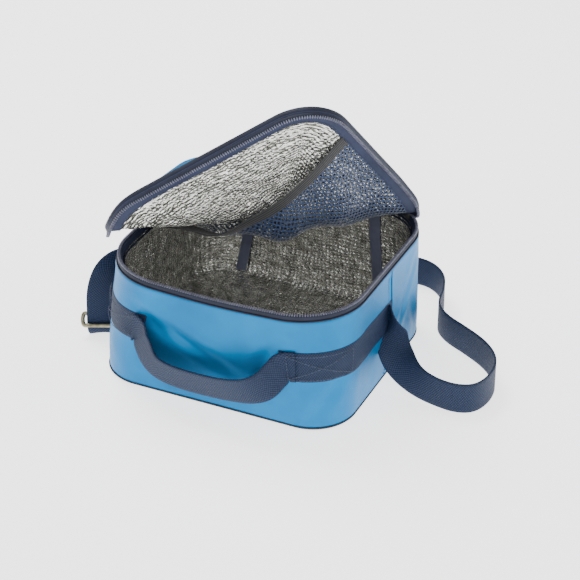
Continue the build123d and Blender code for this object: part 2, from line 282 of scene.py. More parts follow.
def net_fabric(name, dark, light):
    """Soft knitted net with rows of small round holes, which show what is behind."""
    n = Nodes(name, 0.55, Sheen_Weight=0.3)
    u, v, _ = n.axes(n.uv())
    pitch = 0.0052
    first = n.math("MULTIPLY", n.wave(u, pitch), n.wave(v, pitch))
    second = n.math("MULTIPLY", n.wave(n.math("ADD", u, pitch / 2), pitch),
                    n.wave(n.math("ADD", v, pitch / 2), pitch))
    holes = n.math("MAXIMUM", first, second)
    thread = n.math("SUBTRACT", 1.0, holes)
    n.color(n.ramp(thread, dark, light, 0.2, 0.9))
    n.link(n.math("GREATER_THAN", thread, 0.48), n.shader.inputs["Alpha"])
    n.bump(thread, 0.0006, 0.8)
    return n.material


def ribbed_elastic(name, dark, light):
    n = Nodes(name, 0.65, Sheen_Weight=0.2)
    across, along, _ = n.axes(n.uv())
    ribs = n.wave(across, 0.0022)
    tone = n.math("ADD", n.math("MULTIPLY", ribs, 0.7), n.math("MULTIPLY", n.wave(along, 0.0012), 0.3))
    n.color(n.ramp(tone, dark, light, 0.1, 0.9))
    n.bump(tone, 0.0005, 0.9)
    return n.material


def moulded(name, dark, light, roughness):
    n = Nodes(name, roughness)
    grain = n.noise(n.solid(), 300, 3)
    n.color(n.ramp(grain, dark, light, 0.3, 0.7))
    n.bump(grain, 0.0001, 0.4)
    return n.material


def worn_metal(name, dark, light, roughness):
    """Plated cast metal: blotchy tone with fine brushed scratches."""
    n = Nodes(name, roughness, metallic=1.0)
    blotch = n.noise(n.solid(), 120, 5, 0.6)
    scratch = n.noise(n.vector("MULTIPLY", n.solid(), (1, 1, 9)), 900, 2)
    n.color(n.ramp(blotch, dark, light, 0.3, 0.75))
    n.bump(n.math("ADD", blotch, scratch), 0.0002, 0.5)
    return n.material


def studio_floor(name):
    n = Nodes(name, 0.7, Emission_Color=(1, 1, 1, 1), Emission_Strength=1.9)
    n.color(n.ramp(n.noise(n.solid(), 3, 2), (0.93, 0.93, 0.93, 1), (0.95, 0.95, 0.95, 1)))
    return n.material


BLUE = coated_fabric("blue_cloth", srgb(0, 104, 158), srgb(0, 120, 178))
NAVY_WEB = webbing_fabric("navy_webbing", srgb(1, 7, 22), srgb(26, 50, 88))
BORDER_CLOTH = tape_fabric("slate_binding", srgb(38, 44, 66), srgb(56, 64, 92))
# The liner's seam bindings are a lighter copy of the slate binding: painted light, standing in for the light
# that the shade inside the bag takes away.
SEAM_BINDING_PAINTED_LIGHTER = tape_fabric("seam_binding_painted_lighter", srgb(92, 96, 118), srgb(124, 129, 152))
TAPE_CLOTH = tape_fabric("navy_tape", srgb(20, 24, 40), srgb(38, 45, 68))
BASE_CLOTH = tape_fabric("base_cloth", srgb(26, 30, 42), srgb(50, 56, 74), 0.0016)
FOIL = crinkled_foil("silver_foil")
NET = net_fabric("navy_net", srgb(9, 24, 50), srgb(32, 58, 98))
ELASTIC = ribbed_elastic("charcoal_elastic", srgb(9, 10, 12), srgb(38, 39, 43))
TEETH = moulded("zipper_teeth", srgb(74, 76, 92), srgb(112, 114, 134), 0.38)
THREAD_BLUE = moulded("blue_thread", srgb(0, 96, 160), srgb(20, 140, 200), 0.6)
THREAD_NAVY = moulded("navy_thread", srgb(24, 30, 48), srgb(64, 76, 104), 0.6)
GUNMETAL = worn_metal("gunmetal", srgb(58, 60, 66), srgb(128, 130, 138), 0.34)
ANTIQUE = worn_metal("antique_nickel", srgb(92, 88, 70), srgb(168, 162, 138), 0.33)


# ---------------------------------------------------------------- mesh helpers

def new_mesh(name, points, faces, uvs=None, material=None):
    """A mesh object from points in millimetres; uvs, in metres, are given for each face's corners."""
    mesh = bpy.data.meshes.new(name)
    mesh.from_pydata([tuple(p) for p in np.asarray(points) * MM], [], [tuple(f) for f in faces])
    if uvs is not None:
        layer = mesh.uv_layers.new(name="length")
        flat = np.asarray(uvs, float).reshape(-1, 2)
        layer.data.foreach_set("uv", flat.ravel())
    for polygon in mesh.polygons:
        polygon.use_smooth = True
    piece = bpy.data.objects.new(name, mesh)
    bpy.context.scene.collection.objects.link(piece)
    if material is not None:
        mesh.materials.append(material)
    return piece


def sheet_mesh(name, grid, material, uv=None):
    """A sheet through a grid of points. Its UV follows the lengths of its rows and columns."""
    grid = np.asarray(grid, float)
    rows, columns = grid.shape[:2]
    if uv is None:
        steps = np.linalg.norm(np.diff(grid, axis=1), axis=2).mean(axis=0)
        rises = np.linalg.norm(np.diff(grid, axis=0), axis=2).mean(axis=1)
        along = np.concatenate([[0], np.cumsum(steps)])
        up = np.concatenate([[0], np.cumsum(rises)])
        uv = np.stack(np.meshgrid(along, up), axis=-1) * MM
        uv = uv[..., ::-1]
    index = np.arange(rows * columns).reshape(rows, columns)
    corners = np.stack([index[:-1, :-1], index[:-1, 1:], index[1:, 1:], index[1:, :-1]], axis=-1)
    corners = corners.reshape(-1, 4)
    uvs = np.asarray(uv).reshape(-1, 2)[corners]
    piece = new_mesh(name, grid.reshape(-1, 3), corners, uvs, material)
    weld(piece)
    return piece


def weld(piece):
    """Join the seam where a closed sheet meets itself."""
    work = bmesh.new()
    work.from_mesh(piece.data)
    bmesh.ops.remove_doubles(work, verts=work.verts, dist=1e-6)
    work.to_mesh(piece.data)
    work.free()


def modify(piece, kind, **settings):
    modifier = piece.modifiers.new(kind.lower(), kind)
    for key, value in settings.items():
        setattr(modifier, key, value)
    return modifier


def bake(piece):
    """Turn a piece's modifiers into its mesh."""
    view = bpy.context.evaluated_depsgraph_get()
    mesh = bpy.data.meshes.new_from_object(piece.evaluated_get(view))
    piece.modifiers.clear()
    piece.data = mesh
    for polygon in mesh.polygons:
        polygon.use_smooth = True


def thicken(piece, thickness, smooth=0, offset=-1.0):
    modify(piece, "SOLIDIFY", thickness=thickness * MM, offset=offset)
    if smooth:
        modify(piece, "SUBSURF", levels=smooth, render_levels=smooth)
    bake(piece)
    return piece


def box_of_bars(name, centres, axes_a, axes_b, axes_c, sizes, material):
    """Many small rounded bars in one mesh: each is an eight-sided lozenge with its own axes."""
    ring_angles = np.arange(8) * math.tau / 8 + math.tau / 16
    rings = ((-1.0, 0.55), (-0.7, 1.0), (0.7, 1.0), (1.0, 0.55))
    template = [
        (end, scale * math.cos(a), scale * math.sin(a)) for end, scale in rings for a in ring_angles
    ]
    faces = [tuple(range(7, -1, -1)), tuple(range(24, 32))]
    for ring in range(3):
        for k in range(8):
            a, b = ring * 8 + k, ring * 8 + (k + 1) % 8
            faces.append((a, b, b + 8, a + 8))
    t = np.array(template) * np.array(sizes) / 2
    centres, a, b, c = (np.asarray(x, float) for x in (centres, axes_a, axes_b, axes_c))
    points = (
        centres[:, None]
        + t[None, :, 0, None] * a[:, None]
        + t[None, :, 1, None] * b[:, None]
        + t[None, :, 2, None] * c[:, None]
    )
    count = len(template)
    all_faces = [tuple(i + k * count for i in face) for k in range(len(centres)) for face in faces]
    return new_mesh(name, points.reshape(-1, 3), all_faces, None, material)


def resample(path, pitch):
    """Points at an even pitch along a path, with its direction at each."""
    path = np.asarray(path, float)
    lengths = np.concatenate([[0], np.cumsum(np.linalg.norm(np.diff(path, axis=0), axis=1))])
    count = max(2, int(lengths[-1] / pitch))
    at = (np.arange(count) + 0.5) * lengths[-1] / count
    points = np.stack([np.interp(at, lengths, path[:, k]) for k in range(3)], axis=1)
    ahead = np.stack([np.interp(at + 0.4, lengths, path[:, k]) for k in range(3)], axis=1)
    behind = np.stack([np.interp(at - 0.4, lengths, path[:, k]) for k in range(3)], axis=1)
    return points, unit(ahead - behind)


def unit(vectors):
    vectors = np.asarray(vectors, float)
    return vectors / np.maximum(np.linalg.norm(vectors, axis=-1, keepdims=True), 1e-9)


def stitches(name, path, normals, material, pitch=3.2, length=2.3, width=0.5, lift=0.15):
    """A row of sewn stitches along a path, lying on a surface with the given normals."""
    points, along = resample(path, pitch)
    path = np.asarray(path, float)
    lengths = np.concatenate([[0], np.cumsum(np.linalg.norm(np.diff(path, axis=0), axis=1))])
    at = (np.arange(len(points)) + 0.5) * lengths[-1] / len(points)
    up = unit(np.stack([np.interp(at, lengths, normals[:, k]) for k in range(3)], axis=1))
    side = unit(np.cross(up, along))
    return box_of_bars(name, points + up * lift, along, side, up, (length, width, width), material)


def tube(name, path, radius, material, closed=False, sides=10):
    """A round cord along a path of points."""
    path = np.asarray(path, float)
    if closed:
        ahead, behind = np.roll(path, -1, axis=0), np.roll(path, 1, axis=0)
        along = unit(ahead - behind)
    else:
        along = unit(np.gradient(path, axis=0))
    side = np.cross(along, UP)
    flat = np.linalg.norm(side, axis=1) < 0.05
    side[flat] = np.cross(along[flat], np.array([1.0, 0, 0]))
    side = unit(side)
    up = unit(np.cross(side, along))
    turn = np.arange(sides + 1) * math.tau / sides
    grid = path[:, None] + radius * (
        np.cos(turn)[None, :, None] * side[:, None] + np.sin(turn)[None, :, None] * up[:, None]
    )
    if closed:
        grid = np.concatenate([grid, grid[:1]])
    return sheet_mesh(name, grid, material)


# ---------------------------------------------------------------- the bag's soft wall

def ring(width, depth, radii, shift=0.0):
    """The rounded plan outline from the back's middle, by the left and the front, and round again.

    Every call gives its points in the same order, so that outlines of any size join up.
    """
    half_x, half_y = width / 2, depth / 2
    back_left, front_left, front_right, back_right = radii
    corners = (
        (-half_x + back_left, half_y - back_left, back_left, 90, SIDE_X // 2),
        (-half_x + front_left, -half_y + front_left, front_left, 180, SIDE_Y),
        (half_x - front_right, -half_y + front_right, front_right, 270, SIDE_X),
        (half_x - back_right, half_y - back_right, back_right, 360, SIDE_Y),
    )
    points = []
    normals = []
    last = np.array([0.0, half_y])
    for x, y, radius, start, count in corners:
        angle = math.radians(start)
        face = np.array([math.cos(angle), math.sin(angle)])
        first = np.array([x, y]) + radius * face
        for step in range(count):
            points.append(last + (first - last) * step / count)
            normals.append(face)
        for step in range(CORNER_STEPS):
            turn = angle + math.radians(90) * step / CORNER_STEPS
            face = np.array([math.cos(turn), math.sin(turn)])
            points.append(np.array([x, y]) + radius * face)
            normals.append(face)
        angle += math.radians(90)
        last = np.array([x, y]) + radius * np.array([math.cos(angle), math.sin(angle)])
    end = np.array([0.0, half_y])
    for step in range(SIDE_X // 2 + 1):
        points.append(last + (end - last) * step / (SIDE_X // 2))
        normals.append(np.array([0.0, 1.0]))
    points = np.array(points)
    points[:, 0] += shift
    return points, np.array(normals)


def smooth(value, low, high):
    t = np.clip((value - low) / (high - low), 0, 1)
    return t * t * (3 - 2 * t)


def hump(value, middle, width):
    return np.exp(-(((value - middle) / width) ** 2))


def soft_noise(points, size, seed=0.0):
    return np.array([noise.noise(Vector(p / size + seed)) for p in points])


# Creases pressed into the wall: a middle point, the direction they run in, length, width and depth
CREASES = (
    ((-20, -108, 62), (0.9, 0, -0.42), 42, 5.5, 2.0),
    ((-52, -108, 70), (0.75, 0, -0.66), 18, 4.5, 1.9),
    ((52, -108, 66), (0.55, 0, 0.83), 18, 5.0, 1.7),
    ((104, -96, 30), (0.35, 0.4, 0.85), 26, 5.0, 1.6),
    ((118, 40, 62), (0, 0.62, 0.78), 30, 4.5, 1.6),
    ((118, 62, 30), (0, -0.4, 0.9), 22, 5.0, 1.3),
    ((-112, -70, 30), (-0.3, 0.5, 0.8), 24, 5.0, 1.5),
    ((-118, 40, 60), (0, 0.7, -0.7), 30, 5.0, 1.5),
    ((30, 108, 50), (0.8, 0, 0.6), 40, 6.0, 1.6),
    ((-60, 108, 64), (0.7, 0, -0.7), 30, 5.0, 1.5),
)


def creased(points):
    """How far each point of the wall is pressed in by the creases."""
    depth = np.zeros(len(points))
    for middle, direction, length, width, press in CREASES:
        offset = points - np.array(middle, float)
        direction = unit(direction)
        run = offset @ direction
        away = np.linalg.norm(offset - run[:, None] * direction, axis=1)
        depth += press * np.exp(-((run / length) ** 2)) * (
            np.exp(-((away / width) ** 2)) - 0.5 * np.exp(-(((away - 2 * width) / width) ** 2))
        )
    return depth


def wall(z, inset=0.0):
    """The bag's wall at a height, as a ring of points a given inset in from its outer face."""
    t = float(np.clip(z / BODY_TOP, 0, 1.06))
    width = 239.5 - 4.0 * t
    depth = 217.0 + 3.0 * t
    radii = [low + (high - low) * t for low, high in ((41, 52), (42, 62), (40, 56), (41, 50))]
    outer, normals = ring(width, depth, radii, 3.0 * t)
    corners = [min(max(r - inset, 2), depth / 2 - inset) for r in radii]
    inner, _ = ring(width - 2 * inset, depth - 2 * inset, corners, 3.0 * t)
    outer = np.column_stack([outer, np.full(len(outer), float(z))])
    middle = math.sin(math.pi * min(max(t, 0), 1))
    push = 1.0 * middle + 1.5 * middle * soft_noise(outer, 48, 3.1)
    push += 0.5 * middle * soft_noise(outer, 17, 9.7)
    push -= creased(outer) * min(1.0, 2.2 * middle)
    points = np.column_stack([inner, np.full(len(inner), float(z))])
    points[:, :2] += normals * push[:, None]
    front = smooth(-outer[:, 1], 20, 105)
    sag = 3.2 * front * hump(outer[:, 0], 5, 62) + 1.0 * smooth(-outer[:, 0], 60, 110)
    points[:, 2] -= sag * smooth(t, 0.35, 1.0)
    return points


def wall_normals():
    _, normals = ring(238, 217, (46, 46, 46, 46))
    return np.column_stack([normals, np.zeros(len(normals))])


def loft(name, profile, material):
    """A sheet round the bag through a profile of (inset, height) pairs."""
    return sheet_mesh(name, [wall(z, inset) for inset, z in profile], material)


def column_at(x, y):
    """The ring's point nearest a place in plan."""
    plan = wall(60)[:, :2]
    return int(np.argmin(np.linalg.norm(plan - np.array([x, y]), axis=1)))


def columns_between(points, keep):
    """The longest run of ring columns for which keep is true, in order, crossing the start if need be."""
    flags = keep(points[:-1])
    count = len(flags)
    start = next(i for i in range(count) if flags[i] and not flags[i - 1])
    order = []
    while flags[start % count] and len(order) < count:
        order.append(start % count)
        start += 1
    return order


# ---------------------------------------------------------------- body pieces

def finish_piece(piece, body, slot, *nodes):
    """The piece rides on a body and stands for its CAD nodes; its slot is not used."""
    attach(piece, body)
    if nodes:
        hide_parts(*nodes)


def build_outer():
    """Blue cloth walls with a rolled hem at the base and under the zipper."""
    heights = list(np.linspace(5, 101, 33))
    profile = [(7, 1.4), (3.2, 1.3), (1.2, 1.7), (0.3, 2.8)]
    profile += [(0, z) for z in heights]
    profile += [(-0.3, 104), (-0.4, 106), (0.0, 107.4), (0.9, 107.9), (1.9, 107.4), (2.2, 105)]
    shell = loft("outer_cloth", profile, BLUE)
    modify(shell, "SUBSURF", levels=1, render_levels=1)
    finish_piece(shell, "bag", "blue_fabric", "outer_front_wrap", "outer_back_wrap", "wall_foam_front",
                 "wall_foam_back")
    for side in (-1, 1):
        column = column_at(side * 119, SEAM_Y)
        heights = np.linspace(4, 106, 60)
        line = np.array([wall(z, -0.25)[column] for z in heights])
        normal = np.repeat(wall_normals()[column][None], len(line), axis=0)
        name = "left" if side < 0 else "right"
        ridge = tube(f"side_seam_{name}", line, 0.75, BLUE)
        finish_piece(ridge, "bag", "blue_fabric")
        beside = np.array([wall(z, -0.1)[column - 2 * side] for z in heights])
        sewing = stitches(f"side_stitches_{name}", beside, normal, THREAD_BLUE)
        finish_piece(sewing, "bag", "blue_fabric")


def build_base():
    """Dark base cloth with a bound edge all round."""
    profile = [(1.0, 2.6), (0.5, 1.6), (0.9, 0.4), (2.5, 0.0)]
    profile += [(inset, 0.0) for inset in (8, 20, 40, 60, 80, 100, FLOOR_MIDDLE)]
    rows = [wall(0, inset) * [1, 1, 0] + [0, 0, z] for inset, z in profile]
    base = sheet_mesh("base_cloth", rows, BASE_CLOTH)
    finish_piece(base, "bag", "base_fabric", "base_panel", "base_foam")
    piping = wall(0, 0.4)[:-1]
    piping[:, 2] = 2.2
    cord = tube("base_piping", piping, 0.9, BASE_CLOTH, closed=True)
    finish_piece(cord, "bag", "base_fabric")


def crumpled(grid, normals, amount, cell, seed):
    """Push a grid of points in and out like crushed film, with sharp creases."""
    grid = np.asarray(grid, float)
    flat = grid.reshape(-1, 3)
    coarse = 1 - 2 * np.abs(soft_noise(flat, cell, seed))
    fine = 1 - 2 * np.abs(soft_noise(flat, cell * 0.42, seed + 5))
    push = amount * (coarse - 0.6) + 0.45 * amount * (fine - 0.6)
    return (flat + normals.reshape(-1, 3) * push[:, None]).reshape(grid.shape)


def build_liner():
    """Foil walls and floor in one crumpled sheet, with bound seams up the back."""
    heights = [107.4, 105.4] + list(np.linspace(103, 16, 64)) + [13, 10.5, 8.6]
    rows = [wall(z, LINER_INSET + (0.8 if z < 14 else 0)) for z in heights]
    rows[-1] = wall(8.6, LINER_INSET + 3.5)
    floor_insets = list(np.linspace(12, FLOOR_MIDDLE, 52))
    for inset in floor_insets:
        floor_ring = wall(0, inset)
        floor_ring[:, 2] = FLOOR_Z
        rows.append(floor_ring)
    inward = -np.repeat(wall_normals()[None], len(rows), axis=0)
    inward[len(heights):] = UP
    inward[:2] *= 0.0
    inward[:, -1] = inward[:, 0]
    grid = crumpled(rows, inward, 1.5, 13, 2.0)
    grid[:, -1] = grid[:, 0]
    liner = sheet_mesh("foil_liner", grid, FOIL)
    modify(liner, "SUBSURF", levels=1, render_levels=1)
    finish_piece(liner, "bag", "foil", "liner_front_wrap", "liner_back_panel", "base_liner")
    for side in (-1, 1):
        name = "left" if side < 0 else "right"
        middle = column_at(side * 66, 109)
        offsets = np.linspace(-5.5, 5.5, 7)
        grid = []
        for z in np.linspace(105.5, 9, 44):
            at = wall(z, LINER_INSET + 1.6)[middle] + [0.9 * math.sin(z / 21 + side), 0, 0]
            grid.append([at + [offset, -0.5 * (1 - (offset / 5.5) ** 2), 0] for offset in offsets])
        # The strip takes the binding colour painted lighter, to make up for the shade inside the bag.
        strip = sheet_mesh(f"liner_binding_{name}_cloth", grid, SEAM_BINDING_PAINTED_LIGHTER)
        thicken(strip, 0.9, smooth=1, offset=0)
        finish_piece(strip, "bag", "binding", f"liner_binding_{name}")


def build_rim():
    """Facing inside the rim, zipper tape outside it and the body's row of teeth on top."""
    facing = loft("rim_facing_cloth", [
        (3.4, 112.2), (3.9, 112.6), (4.6, 111.6), (5.2, 109.6), (5.8, 107.4), (6.4, 105.4), (7.2, 104.2),
        (8.0, 104.4), (7.9, 105.8),
    ], BORDER_CLOTH)
    modify(facing, "SUBSURF", levels=1, render_levels=1)
    finish_piece(facing, "bag", "binding", "rim_facing")
    tape = loft("rim_tape", [
        (2.4, 106.0), (1.3, 107.0), (0.95, 108.2), (0.9, 109.6), (1.15, 111.2), (1.7, 112.6), (2.6, 113.0),
        (3.5, 112.4),
    ], TAPE_CLOTH)
    modify(tape, "SUBSURF", levels=1, render_levels=1)
    finish_piece(tape, "bag", "zipper_tape", "zipper_tape_body")
    cord = tube("rim_piping", wall(107.9, 0.5)[:-1], 0.75, TAPE_CLOTH, closed=True)
    finish_piece(cord, "bag", "zipper_tape")

    order = open_edge_columns()
    path = wall(COIL_Z, 2.0)[order]
    normals = wall_normals()[order]
    teeth = zipper_teeth("body_teeth", path, normals, UP)
    finish_piece(teeth, "bag", "zipper_coil", "zipper_coil_body")
    ends = np.array([path[0], path[-1]])
    outward = np.array([normals[0], normals[-1]])
    along = unit(np.cross(outward, UP))
    upward = np.repeat(UP[None], 2, axis=0)
    stops = box_of_bars("zipper_end_stops", ends, along, outward, upward, (3.2, 3.0, 2.4), GUNMETAL)
    finish_piece(stops, "bag", "zipper_coil", "zipper_stops")


def open_edge_columns():
    """Ring columns from one zipper end, round the sides and front, to the other."""
    return columns_between(wall(BODY_TOP), lambda p: (p[:, 1] < 97) | (np.abs(p[:, 0] - 3) > 98))


def zipper_teeth(name, path, normals, up):
    """A row of coil teeth: rounded bars across the tape, close together."""
    points, along = resample(path, 2.2)
    path = np.asarray(path, float)
    lengths = np.concatenate([[0], np.cumsum(np.linalg.norm(np.diff(path, axis=0), axis=1))])
    at = (np.arange(len(points)) + 0.5) * lengths[-1] / len(points)
    outward = unit(np.stack([np.interp(at, lengths, normals[:, k]) for k in range(3)], axis=1))
    up = np.repeat(np.asarray(up)[None], len(points), axis=0)
    return box_of_bars(name, points, outward, along, up, (2.9, 1.2, 1.9), TEETH)


# ---------------------------------------------------------------- the folded lid

def rotate(points, origin, axis, angle):
    """Turn points about an axis, each by its own angle."""
    axis = unit(np.asarray(axis, float))
    offset = points - origin
    c, s = np.cos(angle)[:, None], np.sin(angle)[:, None]
    return origin + offset * c + np.cross(axis, offset) * s + axis * (offset @ axis)[:, None] * (1 - c)


CREASE_DIR = unit(CREASE_FRONT - CREASE_BACK)
ACROSS = np.array([-CREASE_DIR[1], CREASE_DIR[0], 0.0])


def fold(points):
    """Carry points of the closed lid to where the open, folded lid has them.

    Each point turns about the crease by a share of the fold that depends on where it ends up, the
    same share that the blend between the two lid bodies gives it.
    """
    points = np.asarray(points, float)
    shape = points.shape
    points = points.reshape(-1, 3)
    across = (points - CREASE_BACK) @ ACROSS
    height = points[:, 2] - CREASE_BACK[2]
    share = np.full(len(points), 0.5)
    for _ in range(40):
        turn = (share - 0.5) * FOLD_OPEN
        reach = across * np.cos(turn) - height * np.sin(turn)
        share = 0.5 * share + 0.5 * smooth(reach, -FOLD_REACH, FOLD_REACH)
    points = rotate(points, CREASE_BACK, CREASE_DIR, share * FOLD_OPEN)
    points = rotate(points, HINGE, (-1, 0, 0), np.full(len(points), LID_OPEN))
    return points.reshape(shape)


def lid_ring(inset):
    """The closed lid's outline, a given inset in from its edge."""
    corner = min(max(LID_CORNER - inset, 3), LID_DEPTH / 2 - inset)
    points, _ = ring(LID_WIDTH - 2 * inset, LID_DEPTH - 2 * inset, [corner] * 4)
    return points


def lid_loft(profile):
    """Rings of the closed lid through a profile of (inset, height) pairs."""
    return np.array([
        np.column_stack([lid_ring(inset), np.full(len(lid_ring(inset)), float(z))]) for inset, z in profile
    ])


def finish_lid(piece, slot, *kinds):
    """The piece, already folded open, has its transform baked into its mesh and stands for the rear and
    front CAD nodes of each kind.
    """
    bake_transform(piece)
    if kinds:
        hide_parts(*[f"{kind}_{half}" for kind in kinds for half in ("rear", "front")])


def lid_piece(name, grid, material, slot, *kinds):
    """A smooth sheet given on the closed lid, folded open."""
    piece = sheet_mesh(name, fold(grid), material)
    modify(piece, "SUBSURF", levels=1, render_levels=1)
    bake(piece)
    finish_lid(piece, slot, *kinds)
    return piece


def build_lid_cover():
    insets = list(np.linspace(2.5, LID_MIDDLE, 44))
    profile = [
        (2.0, 123.0), (0.9, 122.6), (0.2, 123.2), (-0.1, 124.6), (0.0, 126.4), (0.6, 127.8), (1.4, 128.6),
    ]
    grid = lid_loft(profile + [(inset, 129.0) for inset in insets])
    top = grid[len(profile):]
    flat = top.reshape(-1, 3)
    rise = 1.6 * smooth(np.repeat(insets, grid.shape[1]), 2, 26)
    rise += 1.3 * soft_noise(flat, 52, 4.4) + 0.4 * soft_noise(flat, 19, 8.1)
    flat[:, 2] += rise * smooth(np.repeat(insets, grid.shape[1]), 0, 14)
    grid[:, -1] = grid[:, 0]
    lid_piece("lid_cover_cloth", grid[len(profile) - 2:], BLUE, "blue_fabric", "lid_shell", "lid_foam")
    lid_piece("lid_side_tape", grid[:len(profile) - 1], TAPE_CLOTH, "zipper_tape")


def build_lid_inside():
    """Crumpled foil inside the lid, and the slate border sewn round it."""
    insets = list(np.linspace(BORDER - 2.5, LID_MIDDLE, 62))
    grid = lid_loft([(inset, 122.4) for inset in insets])
    down = np.zeros_like(grid)
    down[..., 2] = -smooth(np.array(insets), BORDER - 1, BORDER + 6)[:, None]
    grid = crumpled(grid, down, 1.7, 14, 6.0)
    grid[:, -1] = grid[:, 0]
    lid_piece("lid_foil", grid, FOIL, "foil", "lid_liner")

    profile = [
        (0.9, 123.2), (0.5, 122.4), (0.9, 121.7), (2.2, 121.4), (4.5, 121.2), (7, 121.1), (10, 121.2),
        (12.4, 121.4), (BORDER, 121.6), (BORDER + 0.3, 122.2), (BORDER - 0.3, 122.9),
    ]
    grid = lid_loft(profile)
    grid[2:9, :, 2] += 0.5 * soft_noise(grid[2:9].reshape(-1, 3), 24, 1.7).reshape(7, -1)
    grid[:, -1] = grid[:, 0]
    lid_piece("lid_border_cloth", grid, BORDER_CLOTH, "binding", "lid_border")

    for name, inset in (("outer", 3.0), ("inner", BORDER - 1.6)):
        path = lid_loft([(inset, 120.95)])[0]
        normals = np.repeat(-UP[None], len(path), axis=0)
        sewing = stitches(f"lid_stitches_{name}", path, normals, THREAD_NAVY, lift=0.0)
        carry_by_fold(sewing)
        finish_lid(sewing, "binding")


def carry_by_fold(piece):
    """Fold a finished mesh of the closed lid open."""
    points = np.array([v.co[:] for v in piece.data.vertices]) / MM
    piece.data.vertices.foreach_set("co", (fold(points) * MM).ravel())
    piece.data.update()


def build_lid_edge():
    """The tape skirt under the lid's edge and the lid's row of teeth."""
    grid = lid_loft([
        (2.2, 122.4), (1.2, 121.8), (0.9, 120.6), (1.0, 119.2), (1.3, 118.0), (1.9, 117.4), (2.7, 117.6),
        (3.1, 118.8), (3.3, 120.4), (3.4, 121.6),
    ])
    lid_piece("lid_tape", grid, TAPE_CLOTH, "zipper_tape", "zipper_tape_lid")

    edge = lid_loft([(1.9, 117.1)])[0]
    _, flat = ring(LID_WIDTH, LID_DEPTH, [LID_CORNER] * 4)
    outward = np.column_stack([flat, np.zeros(len(flat))])
    order = columns_between(edge, lambda p: (p[:, 1] < 97) | (np.abs(p[:, 0]) > 96))
    teeth = zipper_teeth("lid_teeth", edge[order], outward[order], -UP)
    carry_by_fold(teeth)
    finish_lid(teeth, "zipper_coil", "zipper_coil_lid")


def pocket_mouth(across):
    """The elastic's line: drawn towards the hinge in the middle, sewn further forward at its ends."""
    return POCKET_MOUTH - MOUTH_SWEEP * abs(across) ** 1.8


def pocket_drop(x, y):
    """How far the slack net hangs below the lid, in folds that fade towards its sewn edges."""
    inside_x = smooth(106 - abs(x), 0, 52 if x > 0 else 34)
    inside_y = smooth(POCKET_BACK - y, 0, 90)
    waves = 3.4 * math.sin(x / 10 + y / 23) + 2.2 * math.sin(y / 7.5 - x / 31 + 1.2)
    return inside_x * inside_y * (NET_SLACK + waves) * (0.38 + 0.62 * smooth(y, -45, 8))


def build_pocket():
    """A slack net pocket sewn in under the border, with a wide ribbed elastic along its mouth."""
    def half_width(y):
        limit = LID_DEPTH / 2 - BORDER + 1.5
        corner = LID_CORNER - BORDER + 1.5
        over = max(0.0, y - (limit - corner))
        return LID_WIDTH / 2 - BORDER + 1.5 - corner + math.sqrt(max(corner ** 2 - over ** 2, 1.0))

    grid = []
    for share in np.linspace(0, 1, 64):
        row = []
        for across in np.linspace(-1, 1, 96):
            start = pocket_mouth(across)
            y = start + (POCKET_BACK + 1 - start) * share
            x = across * half_width(y)
            row.append((x, y, 121.3 - pocket_drop(x, y)))
        grid.append(row)
    net = lid_piece("net_pocket", np.array(grid), NET, "mesh", "mesh_pocket")

    reach = half_width(POCKET_MOUTH)
    grid = []
    for across in np.linspace(-1, 1, 110):
        x, y = across * reach, pocket_mouth(across)
        low = 121.0 - pocket_drop(x, y)
        grid.append([(x, y + offset, low - 0.35 * (1 - (offset / 5.2) ** 2))
                     for offset in np.linspace(-5.2, 5.2, 9)])
    elastic = sheet_mesh("pocket_elastic_band", fold(np.swapaxes(np.array(grid), 0, 1)), ELASTIC)
    thicken(elastic, 1.1, smooth=1, offset=0)
    finish_lid(elastic, "elastic", "pocket_elastic")


def build_hinge():
    """The strip of cloth between the zipper's ends, from the rim up to the lid's tape."""
    body = wall(112.6, 1.6)
    lid = lid_loft([(1.3, 118.2)])[0]
    order = columns_between(body, lambda p: (p[:, 1] > 90))
    low = body[order]
    high = rotate(lid[order], HINGE, (-1, 0, 0), np.full(len(order), LID_OPEN))
    rows = []
    for share in np.linspace(0, 1, 9):
        bow = np.array([0, 0.9 * math.sin(math.pi * share), 0])
        rows.append(low + (high - low) * share + bow)
    strip = sheet_mesh("hinge_cloth", rows, TAPE_CLOTH)
    thicken(strip, 0.8, offset=0)
    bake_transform(strip)
    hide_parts("hinge_strip")


# ---------------------------------------------------------------- webbing

def ribbon_mesh(name, centres, widths, material, width=WEBBING_WIDTH, thickness=WEBBING):
    """Webbing along a line of points, each with the direction of the band's width there."""
    centres = np.asarray(centres, float)
    along = unit(np.gradient(centres, axis=0))
    widths = unit(widths - along * np.sum(widths * along, axis=1, keepdims=True))
    face = unit(np.cross(along, widths))
    half = width / 2
    across = list(np.linspace(-half + 0.7, half - 0.7, 11))
    section = [(-half, 0.0)] + [(a, thickness / 2) for a in across] + [(half, 0.0)]
    section += [(a, -thickness / 2) for a in reversed(across)] + [(-half, 0.0)]
    grid = np.array([centres + widths * a + face * b for a, b in section])
    return sheet_mesh(name, grid, material)


def on_wall(column, z, inset):
    """A point on the wall at a fractional ring column."""
    points = wall(z, inset)
    low = int(math.floor(column))
    return points[low] + (points[low + 1] - points[low]) * (column - low)


